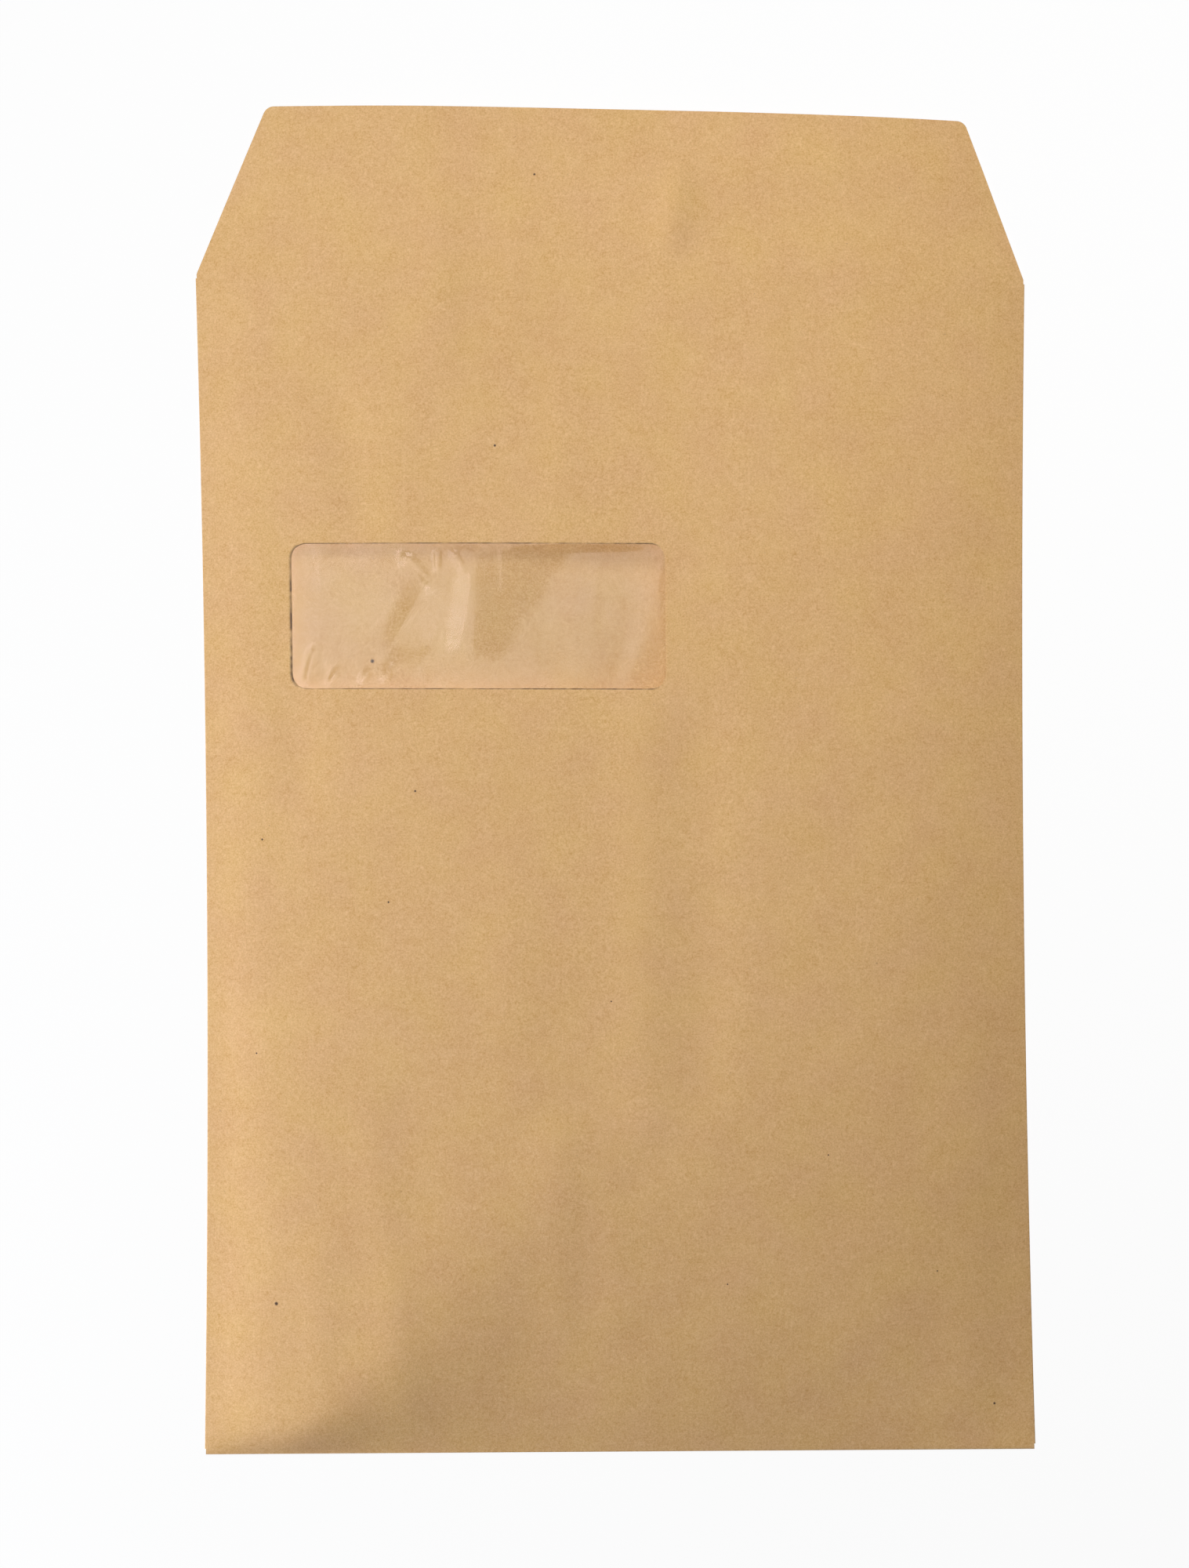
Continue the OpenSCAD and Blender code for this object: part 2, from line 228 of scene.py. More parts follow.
def frontHeight(x, y):
    # Middle of the sheet: the arch across times the rise along, less the flap's slope past its
    # crease, plus folds and bumps that die out towards the creases, and the scored groove
    rng = np.random.default_rng(sheet["seed"])
    u = np.clip(x / halfFront(y), -1, 1)
    puffed = frontBase + sheet["puffHeight"] * arch(u) * rise(u, y)
    droop = flapDrop * np.maximum(0, y - bodyLength) / sheet["flapLength"]
    soft = 0.0
    for size, height in sheet["frontBumps"]:
        soft = soft + height * bumps(x, y, size, rng)
    soft = soft + foldsAt(x, y, paperFolds, bell)
    toSides, toFoot = sheet["settle"]
    edge = ease((halfFront(y) - np.abs(x)) / toSides) * ease(y / toFoot)
    groove = sheet["grooveDepth"] * bell((y - bodyLength) / sheet["grooveHalf"])
    return puffed - droop + edge * soft - groove


def lift(y):
    # The wings climb over the bottom flap
    return layer * np.clip((stepFoot - y) / sheet["stepWidth"], 0, 1)


def lap(x):
    # The inner wing climbs over the outer one
    return layer * np.clip((x - lapFoot) / sheet["stepWidth"], 0, 1)


def buckle(x, y):
    # The back bends up in one soft bell under the window, and the wings stand off the surface in
    # bumps away from the seam, the creases and the glue
    rng = np.random.default_rng(sheet["seed"] + 1)
    side = np.where(x < seamLeft, lapFoot - x, x - seamRight)
    toCreases, toSeam, toFlap = sheet["wingSettle"]
    creases = ease((halfFront(y) - np.abs(x)) / toCreases)
    free = ease(side / toSeam) * creases * ease((y - stepFoot) / toFlap)
    (x0, y0), (halfX, halfY) = sheet["backPlace"], sheet["backHalf"]
    bend = bell((x - x0) / halfX) * bell((y - y0) / halfY) * creases
    bend = bend * ease((y - stepFoot) / sheet["backSettle"])
    stand = np.maximum(0, sheet["buckleShare"] + bumps(x, y, sheet["buckleSize"], rng))
    return sheet["wingBuckle"] * stand * free + sheet["backRise"] * bend


def flapHalf(s, baseHalf, endHalf, length, radius):
    # Half the width of a flap at a distance s from its crease: straight sides that come in, and
    # a round at each end
    lean = math.atan((baseHalf - endHalf) / length)
    cornerS = length - radius
    cornerX = mix(baseHalf, endHalf, cornerS / length) - radius / math.cos(lean)
    tangentS = cornerS + radius * math.sin(lean)
    straight = mix(baseHalf, endHalf, s / length)
    rounded = cornerX + np.sqrt(np.maximum(radius**2 - (s - cornerS) ** 2, 0))
    return np.where(s > tangentS, rounded, straight)


def closeUp(start, end, count):
    # Places from start to end that crowd towards the end
    return start + (end - start) * (1 - (1 - np.linspace(0, 1, count)) ** 2)


def outOfSquare(points):
    # Each row turns clockwise in proportion to its height up the sheet, and the tip moves right
    x, y = points[:, 0], points[:, 1]
    up = np.clip(y / bodyLength, 0, 1)
    out = np.clip((y - bodyLength) / sheet["flapLength"], 0, 1)
    moved = points.copy()
    moved[:, 1] -= x / halfWidth * (sheet["outOfSquare"] * up + sheet["flapOutOfSquare"] * out)
    moved[:, 0] += sheet["flapShift"] * out
    return moved


def makeSkin(name, outer, inner, kept=None):
    # A closed skin between two grids of points, with a wall wherever a kept cell has no
    # neighbour. A cell's corners go round as a b c d, from its low row and low column.
    rows, cols = outer.shape[:2]
    kept = np.ones((rows - 1, cols - 1), bool) if kept is None else kept
    index = np.arange(rows * cols).reshape(rows, cols)
    under = rows * cols
    a, b, c, d = index[:-1, :-1], index[:-1, 1:], index[1:, 1:], index[1:, :-1]
    quads = [np.stack([a, b, c, d], -1)[kept], np.stack([a, d, c, b], -1)[kept] + under]
    ringed = np.pad(kept, 1)
    neighbours = (ringed[:-2, 1:-1], ringed[1:-1, 2:], ringed[2:, 1:-1], ringed[1:-1, :-2])
    for (p, q), neighbour in zip(((a, b), (b, c), (c, d), (d, a)), neighbours):
        bare = kept & ~neighbour
        quads.append(np.stack([q[bare], p[bare], p[bare] + under, q[bare] + under], -1))
    used, faces = np.unique(np.concatenate(quads), return_inverse=True)
    faces = faces.reshape(-1, 4)
    points = outOfSquare(np.concatenate([outer.reshape(-1, 3), inner.reshape(-1, 3)])[used])
    points[:, 1] -= totalLength / 2
    mesh = bpy.data.meshes.new(name)
    mesh.vertices.add(len(points))
    mesh.vertices.foreach_set("co", (points * mm).ravel())
    mesh.loops.add(faces.size)
    mesh.loops.foreach_set("vertex_index", faces.ravel())
    mesh.polygons.add(len(faces))
    mesh.polygons.foreach_set("loop_start", np.arange(len(faces)) * 4)
    mesh.polygons.foreach_set("use_smooth", np.ones(len(faces), bool))
    mesh.update(calc_edges=True)
    mesh.set_sharp_from_angle(angle=math.radians(40))
    piece = bpy.data.objects.new(name, mesh)
    bpy.context.scene.collection.objects.link(piece)
    print(name, "has", 2 * len(faces), "triangles")
    return piece


def roundWindow(x, y):
    # Near each corner of the cut-out the square rings of the grid are drawn in to round ones. The
    # ring through the corner becomes a quarter circle, and the change dies out past it.
    r = window["radius"]
    p = np.abs(x - windowX) - windowHalfX + r
    q = np.abs(y - windowY) - windowHalfY + r
    ring = np.maximum(p, q)
    shrink = ring / np.maximum(np.hypot(p, q), 1e-9)
    weight = np.where((p > 0) & (q > 0), 1 - ease((ring - r) / window["blend"]), 0)
    movedX = x + np.sign(x - windowX) * p * (shrink - 1) * weight
    movedY = y + np.sign(y - windowY) * q * (shrink - 1) * weight
    return movedX, movedY


def nearWindow(cellX, cellY, past):
    # Which cells of a grid lie in the window's rectangle, or less than a distance past it
    across = np.abs(cellX - windowX) < windowHalfX + past
    along = np.abs(cellY - windowY) < windowHalfY + past
    return across & along[:, None]


def makePaper():
    # Columns go round the pocket from the left wing's edge to the right wing's, rows from the
    # bottom flap's edge to the seal flap's tip. Each stretch of them ends with its count. Spots
    # are the middle of the sheet, and facing is the way that its outer side looks.
    half = sheet["thickness"] / 2
    r = window["radius"]
    edgeX = float(halfFront(windowY))
    x0, x1 = windowX - windowHalfX, windowX + windowHalfX
    y0, y1 = windowY - windowHalfY, windowY + windowHalfY
    knee = bodyLength - 2 * sheet["throatDrop"]
    frontXs = joined(
        np.linspace(-edgeX, x0 - r, 14),
        np.linspace(x0 - r, x0 + r, 9),
        np.linspace(x0 + r, x1 - r, 48),
        np.linspace(x1 - r, x1 + r, 9),
        np.linspace(x1 + r, edgeX, 50),
    )
    wingYs = joined(
        np.linspace(creaseEdge + sheet["wingRelief"], stepFoot - sheet["stepWidth"], 16),
        np.linspace(stepFoot - sheet["stepWidth"], stepFoot, 3),
        np.linspace(stepFoot, y0 - r, 86),
        np.linspace(y0 - r, y0 + r, 9),
        np.linspace(y0 + r, y1 - r, 18),
        np.linspace(y1 - r, y1 + r, 9),
        np.linspace(y1 + r, knee, 24),
        np.linspace(knee, bodyLength - sheet["wingRelief"], 12),
    )
    flapYs = joined(
        bodyLength + np.array([-0.8, -0.5, -0.25, 0, 0.25, 0.5, 0.8]),
        np.linspace(bodyLength + 1.5, totalLength - sheet["flapCornerRadius"], 22),
        closeUp(totalLength - sheet["flapCornerRadius"], totalLength, 10),
    )
    bodyYs = joined([creaseEdge], wingYs, flapYs)
    roundFoot = sheet["bottomFlapLength"] - sheet["bottomFlapRadius"]
    bottomYs = joined(
        np.linspace(creaseEdge, roundFoot, 8), closeUp(roundFoot, sheet["bottomFlapLength"], 9)
    )[:0:-1]
    turn = np.radians(np.linspace(-90, 90, 9))

    # The front and the seal flap. Each column stands straight beside the window, and takes its
    # share of the side creases' bow above and below it.
    u = frontXs / edgeX

    def across(y):
        return frontXs + (halfFront(y) - edgeX) * np.sign(u) * np.abs(u) ** 3

    y = bodyYs[:, None] + 0 * u
    s = np.maximum(0, y - bodyLength)
    creaseHalf = float(halfFront(bodyLength))
    flapHalves = flapHalf(s, creaseHalf, tipHalf, sheet["flapLength"], sheet["flapCornerRadius"])
    x, y = roundWindow(across(y) * flapHalves / creaseHalf, y)
    front = np.stack([x, y, frontHeight(x, y)], -1)
    up = np.zeros_like(front) + (0, 0, 1)

    # The bottom crease and the bottom flap under it
    around = turn[:-1, None] + 0 * u
    creaseX = across(creaseEdge) + 0 * around
    crease = np.stack(
        [
            creaseX,
            creaseEdge - creaseRadius * np.cos(around),
            half + creaseRadius * (1 + np.sin(around)),
        ],
        -1,
    )
    creaseOut = np.stack([0 * around, -np.cos(around), np.sin(around)], -1)
    by = bottomYs[:, None] + 0 * u
    footHalf = float(halfFront(creaseEdge))
    bottomHalves = flapHalf(
        by - creaseEdge,
        footHalf,
        halfWidth - sheet["bottomFlapTaper"],
        sheet["bottomFlapLength"] - creaseEdge,
        sheet["bottomFlapRadius"],
    )
    bx = across(creaseEdge) * bottomHalves / footHalf
    bottom = np.stack([bx, by, half + 0 * bx], -1)
    down = np.zeros_like(bottom) + (0, 0, -1)
    frontSpots = np.concatenate([bottom, crease, front])
    frontOut = np.concatenate([down, creaseOut, up])

    # The wings and the side creases. The throat's edge is straight across, and climbs to the
    # side creases at its ends.
    rowY = np.concatenate([bottomYs, creaseEdge + 0 * turn[:-1], bodyYs])[:, None]
    nearCrease = sheet["throatSlope"] / halfWidth
    shares = joined(np.linspace(0, nearCrease, 8), np.linspace(nearCrease, 1, 14))
    lapXs = np.array([seamLeft - sheet["stepGap"], seamLeft, sheet["seamShift"], seamRight])
    leftX = np.concatenate([mix(-halfFront(rowY), lapFoot, shares), lapXs + 0 * rowY], 1)
    rightX = mix(halfFront(rowY), seamLeft, shares)
    parts = {}
    for side, wingX in ((-1, leftX[:, ::-1]), (1, rightX)):
        slope = 1 - np.clip((halfFront(rowY) - np.abs(wingX)) / sheet["throatSlope"], 0, 1)
        top = bodyLength - sheet["wingRelief"]
        throat = mix(bodyLength - sheet["throatDrop"], top, slope)
        wingY = np.where(rowY > knee, knee + (rowY - knee) * (throat - knee) / (top - knee), rowY)
        wingZ = half + lift(rowY) + (lap(wingX) if side < 0 else 0) + buckle(wingX, wingY)
        wing = np.stack([wingX, wingY, wingZ], -1)
        angles = turn[1:-1] + 0 * rowY
        fold = np.stack(
            [
                side * (halfFront(rowY) + creaseRadius * np.cos(angles)),
                rowY + 0 * angles,
                mix(half + lift(rowY), frontBase, (1 + np.sin(angles)) / 2),
            ],
            -1,
        )
        foldOut = np.stack([side * np.cos(angles), 0 * angles, np.sin(angles)], -1)
        wingOut = np.zeros_like(wing) + (0, 0, -1)
        if side < 0:
            parts[side] = (np.concatenate([wing, fold], 1), np.concatenate([wingOut, foldOut], 1))
        else:
            parts[side] = (
                np.concatenate([fold[:, ::-1], wing], 1),
                np.concatenate([foldOut[:, ::-1], wingOut], 1),
            )
    spots = np.concatenate([parts[-1][0], frontSpots, parts[1][0]], 1)
    facing = np.concatenate([parts[-1][1], frontOut, parts[1][1]], 1)

    # Paper is every cell of the front's columns, and the others between the ends of the wings,
    # but none inside the window
    level = np.concatenate([0 * bottomYs - 1, 0 * turn[:-1] - 1, bodyYs])
    near = 0.01
    onWings = (level > wingYs[0] - near) & (level < wingYs[-1] + near)
    column = np.full(spots.shape[1], np.nan)
    firstFront = parts[-1][0].shape[1]
    column[firstFront : firstFront + len(frontXs)] = frontXs
    cellX, cellY = (column[:-1] + column[1:]) / 2, (level[:-1] + level[1:]) / 2
    kept = (onWings[:-1] & onWings[1:])[:, None] | ~np.isnan(cellX)
    kept = kept & ~nearWindow(cellX, cellY, 0)
    return makeSkin("paperSheet", spots + facing * half, spots - facing * half, kept)


film = {
    "thickness": 0.04,
    "margin": 10.0,
    "glueMargin": 1.5,
    "grid": 0.6,
    "slack": 2.6,  # width beside the window's edge over which the film comes loose
    "footSlack": 12.0,  # the same for its larger forms at the bottom edge
    "creaseSoft": 0.12,  # how softly a crease turns, as a share of its half width
    "bumpSize": 11.0,
    "bumpHeight": 0.03,
}

# The film's own creases, each with two flat sides: one long valley and smaller ones
filmValley = {
    "start": (-49.0, 242.0),
    "end": (-61.0, 220.3),
    "half": 5.8,
    "otherHalf": 16.0,
    "fade": 9.5,
    "height": -1.3,
}
filmFolds = [
    {"start": (-37.5, 243), "end": (-41.8, 219), "half": 4.3, "otherHalf": 10.0, "height": 0.45},
    {"start": (13.5, 242), "end": (4.0, 212), "half": 3.2, "otherHalf": 7.0, "height": 0.16},
    {"start": (-4.5, 247), "end": (-5, 226), "half": 2.4, "height": 0.05},
    {"start": (-22, 224), "end": (-21, 212), "half": 3.0, "height": 0.09},
    {"start": (-30, 248), "end": (-29.5, 236), "half": 1.2, "height": 0.1},
    {"start": (-81.4, 221), "end": (-84, 211), "half": 2.2, "height": 0.42},
    {"start": (-75.0, 215.5), "end": (-77.5, 211), "half": 1.8, "height": 0.5},
    {"start": (-67.0, 215), "end": (-68.5, 211), "half": 1.8, "height": 0.45},
    {"start": (-61.0, 216), "end": (-62.5, 211), "half": 2.0, "height": 0.45},
    {"start": (-51, 221), "end": (-52, 211), "half": 2.6, "height": 0.3},
    {"start": (-56, 246), "end": (-49.5, 238.5), "half": 1.8, "otherHalf": 3.5, "height": 0.55},
    {"start": (-47.5, 248), "end": (-47.8, 242), "half": 1.5, "height": 0.5},
    {"start": (-43.5, 247.5), "end": (-40.5, 242.5), "half": 1.4, "height": 0.42},
    {"start": (-57, 248), "end": (-56.5, 243.5), "half": 2.6, "height": 0.6},
    {"start": (-79, 248), "end": (-80, 238), "half": 3.0, "height": 0.12},
]
filmPleat = {
    "x": -38.2,  # a sharp ridge from the window's top edge to its bottom one
    "height": 0.4,
    "leftWidth": 14.0,
    "slope": 0.075,  # right of it the film falls in one flat triangle
    "footWidth": 2.6,  # the triangle's width at the bottom edge
    "topWidth": 29.0,
    "soft": 1.2,  # how softly it turns up again there
    "sag": 0.25,  # how far the film hangs down in the right part
    "sagStart": 22.0,  # how far from the ridge it does so fully
    "sagEnd": 11.0,  # how near the window's right edge it comes up again
    "taut": 0.42,  # how far it hangs under the front's curve at the left
}


def roof(k):
    # Two flat slopes that meet in a crease, and turn softly into the level at their feet
    soft = film["creaseSoft"]
    return soft * np.logaddexp(0, (1 - np.abs(k)) / soft)


def pleat(x, y):
    # A slope up to the ridge, a plane down from it as far as a slanting line, and a plane up again
    # from there to the window's right edge, which sags. Left of the ridge a parabola takes the
    # front's curve out of it.
    d = x - filmPleat["x"]
    k = (y - windowY + windowHalfY) / window["height"]
    width = mix(filmPleat["footWidth"], filmPleat["topWidth"], k)
    past = filmPleat["soft"] * np.logaddexp(0, (d - width) / filmPleat["soft"])
    left = filmPleat["height"] * np.maximum(0, 1 + d / filmPleat["leftWidth"])
    room = windowX + windowHalfX - x
    plane = filmPleat["height"] - filmPleat["slope"] * (d - past)
    sag = np.clip(room / filmPleat["sagEnd"], 0, 1) * ease(d / filmPleat["sagStart"])
    right = plane * np.clip(1 - past / (past + room), 0, 1) - filmPleat["sag"] * sag
    span = (x - windowX + windowHalfX) / (filmPleat["x"] - windowX + windowHalfX)
    hung = filmPleat["taut"] * 4 * np.maximum(0, span * (1 - span))
    return np.where(d < 0, left, right) - hung


def filmWrinkles(x, y):
    # The pleat and the valley, which die out slowly towards the bottom edge, and the smaller
    # creases and bumps, which die out close to every edge
    rng = np.random.default_rng(sheet["seed"] + 2)
    room = np.minimum(windowHalfX - np.abs(x - windowX), windowHalfY - np.abs(y - windowY))
    loose = ease(room / film["slack"])
    slow = loose * ease((y - windowY + windowHalfY) / film["footSlack"])
    uneven = film["bumpHeight"] * bumps(x, y, film["bumpSize"], rng)
    small = foldsAt(x, y, filmFolds, roof) + uneven
    return slow * (pleat(x, y) + foldsAt(x, y, [filmValley], roof)) + loose * small


def makeUndercoat(name, x, y, depth, thickness, raised=0, kept=None):
    # A coat under the front, on its own grid: the front's height less half the paper, and depth
    top = frontHeight(x, y) - sheet["thickness"] / 2 - depth + raised
    outer = np.stack([x, y, top], -1)
    inner = np.stack([x, y, top - thickness], -1)
    return makeSkin(name, outer, inner, kept)


def makeFilm():
    reachX, reachY = windowHalfX + film["margin"], windowHalfY + film["margin"]
    xs = np.linspace(windowX - reachX, windowX + reachX, round(2 * reachX / film["grid"]))
    ys = np.linspace(windowY - reachY, windowY + reachY, round(2 * reachY / film["grid"]))
    x, y = np.meshgrid(xs, ys)
    depth, raised = sheet["glueThickness"], filmWrinkles(x, y)
    return makeUndercoat("windowFilm", x, y, depth, film["thickness"], raised)


def ringLines(centre, inner, outer, count):
    # Grid lines of a ring: 6 across each of its sides, and a count between them
    side = np.linspace(inner, outer, 6)
    return centre + joined(-side, np.linspace(-inner, inner, count), side)


def makeWindowGlue():
    # A ring round the window, short of the film's edges and of the window's
    gap = film["glueMargin"]
    reach = film["margin"] - gap
    xs = ringLines(windowX, windowHalfX + gap, windowHalfX + reach, 70)
    ys = ringLines(windowY, windowHalfY + gap, windowHalfY + reach, 35)
    x, y = np.meshgrid(xs, ys)
    hole = nearWindow((xs[:-1] + xs[1:]) / 2, (ys[:-1] + ys[1:]) / 2, gap)
    return makeUndercoat("windowGlue", x, y, 0, sheet["glueThickness"], 0, ~hole)


def makeSeamGlue():
    # A strip between the two wings, which follows the back's bends
    gap = sheet["seamGlueMargin"]
    start = creaseEdge + sheet["wingRelief"] + gap
    end = bodyLength - sheet["throatDrop"] - gap
    xs = np.linspace(seamLeft + gap, seamRight - gap, 12)
    x, y = np.meshgrid(xs, np.linspace(start, end, 160))
    low = sheet["thickness"] + lift(y) + buckle(x, y)
    outer = np.stack([x, y, low + sheet["glueThickness"]], -1)
    return makeSkin("seamGlue", outer, np.stack([x, y, low], -1))


gum = {"width": 16.0, "margin": 2.0, "thickness": 0.03}


def makeFlapGum():
    # A band along the seal flap's tip, inside its outline by the margin
    edge = gum["margin"]
    length = sheet["flapLength"]
    lean = math.atan((halfWidth - tipHalf) / length)
    s = joined(
        np.linspace(length - edge - gum["width"], length - sheet["flapCornerRadius"], 12),
        closeUp(length - sheet["flapCornerRadius"], length - edge, 5),
    )[:, None]
    radius = sheet["flapCornerRadius"] - edge
    inward = edge / math.cos(lean)
    halves = flapHalf(s, halfWidth - inward, tipHalf - inward, length - edge, radius)
    x = halves * np.linspace(-1, 1, 110)
    return makeUndercoat("flapGum", x, bodyLength + s + 0 * x, 0, gum["thickness"])


class Signal:
    # A node's output that Python expressions can use: each operation adds a Math node
    def __init__(self, finish, socket):
        self.finish = finish
        self.socket = socket

    def math(self, operation, first, second=0.0):
        return self.finish.add("ShaderNodeMath", {"operation": operation}, {0: first, 1: second})

    def absolute(self):
        return self.math("ABSOLUTE", self)

    def root(self):
        return self.math("SQRT", self)

    def atLeast(self, low):
        return self.math("MAXIMUM", self, low)

    def __add__(self, other):
        return self.math("ADD", self, other)

    def __radd__(self, other):
        return self.math("ADD", other, self)

    def __sub__(self, other):
        return self.math("SUBTRACT", self, other)

    def __rsub__(self, other):
        return self.math("SUBTRACT", other, self)

    def __mul__(self, other):
        return self.math("MULTIPLY", self, other)

    def __rmul__(self, other):
        return self.math("MULTIPLY", other, self)

    def __truediv__(self, other):
        return self.math("DIVIDE", self, other)


class Finish:
    # A material that is built from a few kinds of step
    def __init__(self, name):
        self.material = bpy.data.materials.new(name)
        self.material.use_nodes = True
        self.tree = self.material.node_tree
        self.tree.nodes.clear()
        self.place = self.add("ShaderNodeTexCoord", output="Object")

    def add(self, kind, settings=None, inputs=None, output=0):
        node = self.tree.nodes.new(kind)
        for name, value in (settings or {}).items():
            setattr(node, name, value)
        for key, value in (inputs or {}).items():
            if isinstance(value, Signal):
                self.tree.links.new(value.socket, node.inputs[key])
            else:
                node.inputs[key].default_value = value
        return Signal(self, node.outputs[output])

    def vector(self, operation, first, second, output=0):
        inputs = {0: first, 1: second}
        return self.add("ShaderNodeVectorMath", {"operation": operation}, inputs, output)

    def clamp(self, value, low=0.0, high=1.0):
        return self.add("ShaderNodeClamp", None, {"Value": value, "Min": low, "Max": high})

    def turned(self, angle=0.0, stretch=(1, 1, 1)):
        # Object coordinates turned about Z and then squeezed along each axis
        inputs = {"Vector": self.place, "Rotation": (0, 0, angle)}
        return self.vector("MULTIPLY", self.add("ShaderNodeMapping", None, inputs), stretch)

    def grain(self, size, detail=0.0, place=None):
        # Noise about 0, whose features are about size millimetres long
        inputs = {
            "Vector": place or self.place,
            "Scale": 1 / (size * mm),
            "Detail": detail,
            "Roughness": 0.5,
        }
        noise = self.add("ShaderNodeTexNoise", {"noise_dimensions": "3D"}, inputs)
        return (noise - 0.5) * 4.0

    def over(self, value, threshold, width):
        # 0 below the threshold and 1 above it, over a soft width
        return self.clamp((value - threshold) / width)

    def spot(self, centre, radius):
        # 1 inside a round spot on the paper, at a place given as elsewhere in this script
        at = Vector((centre[0], centre[1] - totalLength / 2, 0)) * mm
        flat = self.vector("MULTIPLY", self.place, (1, 1, 0))
        away = self.vector("DISTANCE", flat, at, "Value")
        return self.clamp(2 - away / (0.5 * radius * mm))

    def tint(self, colour, shifts):
        # A colour times 1 plus the sum of each signal times its share of red, green and blue
        total = (1.0, 1.0, 1.0)
        for signal, share in shifts:
            inputs = {0: share, "Scale": signal}
            part = self.add("ShaderNodeVectorMath", {"operation": "SCALE"}, inputs)
            total = self.vector("ADD", total, part)
        return self.vector("MULTIPLY", total, colour)

    def blend(self, amount, first, second):
        inputs = {"Factor": amount, 6: first, 7: second}
        return self.add("ShaderNodeMix", {"data_type": "RGBA"}, inputs, 2)

    def close(self, surface):
        output = self.tree.nodes.new("ShaderNodeOutputMaterial")
        self.tree.links.new(surface.socket, output.inputs["Surface"])
        return self.material


paperFinish = {
    "colour": (0.655, 0.400, 0.172, 1),
    "roughness": 0.82,
    "roughnessClouds": (1.5, 0.05),  # their size in millimetres, and how far they change it
    "specular": 0.35,
    "mottle": [  # size in millimetres, and how far each pulls red, green and blue
        (26, (0.012, 0.016, 0.03)),
        (11, (0.006, 0.016, -0.024)),
        (4.5, (0.012, 0.020, 0.034)),
        (2.0, (0.014, 0.021, 0.042)),
        (0.9, (0.030, 0.046, 0.080)),
        (0.4, (0.073, 0.104, 0.190)),
    ],
    "fibres": {
        "angles": [0.3, 1.1, 1.9, 2.7],
        "width": 0.28,
        "squeeze": 0.13,  # their width over their length
        "pale": (0.95, (0.10, 0.12, 0.16)),  # threshold, and the pull on red, green and blue
        "dark": (1.0, (-0.11, -0.14, -0.18)),
        "soft": 0.5,
        "height": 0.6,
    },
    "flecks": {"size": 0.6, "threshold": 1.42, "soft": 0.3, "strength": 0.35},
    "specks": [  # places and radii of the darkest flecks
        ((-93.8, 42.3), 0.61),
        ((-66.2, 218.4), 0.65),
        ((-31.7, 276.7), 0.43),
        ((-20.3, 351.1), 0.38),
        ((-54.3, 182.5), 0.38),
        ((-61.9, 152.2), 0.34),
        ((-96.8, 169.6), 0.34),
        ((103.2, 12.8), 0.41),
        ((-98.8, 110.9), 0.30),
        ((87.5, 49.8), 0.27),
        ((29.9, 47.0), 0.27),
        ((57.7, 82.2), 0.27),
        ((-1.2, 124.7), 0.27),
    ],
    # the darkest flecks' colour, which is also the colour of the painted shadow line round the
    # window
    "speckAndShadowColour": (0.09, 0.05, 0.03, 1),
    "bump": 0.02,  # depth of the fine grain in millimetres
    "bumpSizes": (0.3, 0.9),
}
# A dark line painted round the window's cut edge as the shadow that the edge casts
cutShadowPaint = {
    "width": 0.28,  # half width of the painted shadow line round the window's cut edge
    "leftWider": 1.3,  # how much wider it is on the left side, as a share
    "leftReach": 2.0,
    "core": 1.4,  # a higher one has a wider dark middle
    "rightReach": 1.0,  # how near the right side it ends, and over which length it fades there
    "rightFade": 3.0,
    "above": 4.7,  # it shows on what lies above this height, which rises to the right
    "aboveSlope": 0.03,
    "strength": 0.75,
    "uneven": [(9, 0.4), (1.5, 0.3)],  # how it comes and goes: size in millimetres and amount
}


def paintedCutShadow(f):
    # 1 in a narrow line of painted shadow on the window's cut edge, by the distance from its
    # rounded outline, which is wider on the left side. The painted shade comes and goes along the
    # edge, the right side has none, and neither has the back below it.
    slant = sheet["outOfSquare"] / halfWidth * windowY / bodyLength
    axes = [f.add("ShaderNodeSeparateXYZ", None, {0: f.place}, axis) for axis in range(3)]
    across, along, up = (axis / mm for axis in axes)
    level = along + totalLength / 2 - windowY + slant * across
    p = ((across - windowX).absolute() - windowHalfX + window["radius"]).atLeast(0)
    q = (level.absolute() - windowHalfY + window["radius"]).atLeast(0)
    away = (p * p + q * q).root() - window["radius"]
    left = f.clamp(windowX - windowHalfX + cutShadowPaint["leftReach"] - across)
    width = cutShadowPaint["width"] * (1 + cutShadowPaint["leftWider"] * left)
    line = f.clamp(cutShadowPaint["core"] - away.absolute() / width)
    toRight = windowX + windowHalfX - cutShadowPaint["rightReach"] - across
    high = f.clamp(up - cutShadowPaint["above"] - cutShadowPaint["aboveSlope"] * (across - windowX))
    strength = cutShadowPaint["strength"]
    for size, amount in cutShadowPaint["uneven"]:
        strength = strength + amount * f.grain(size)
    return line * f.clamp(toRight / cutShadowPaint["rightFade"]) * high * f.clamp(strength)


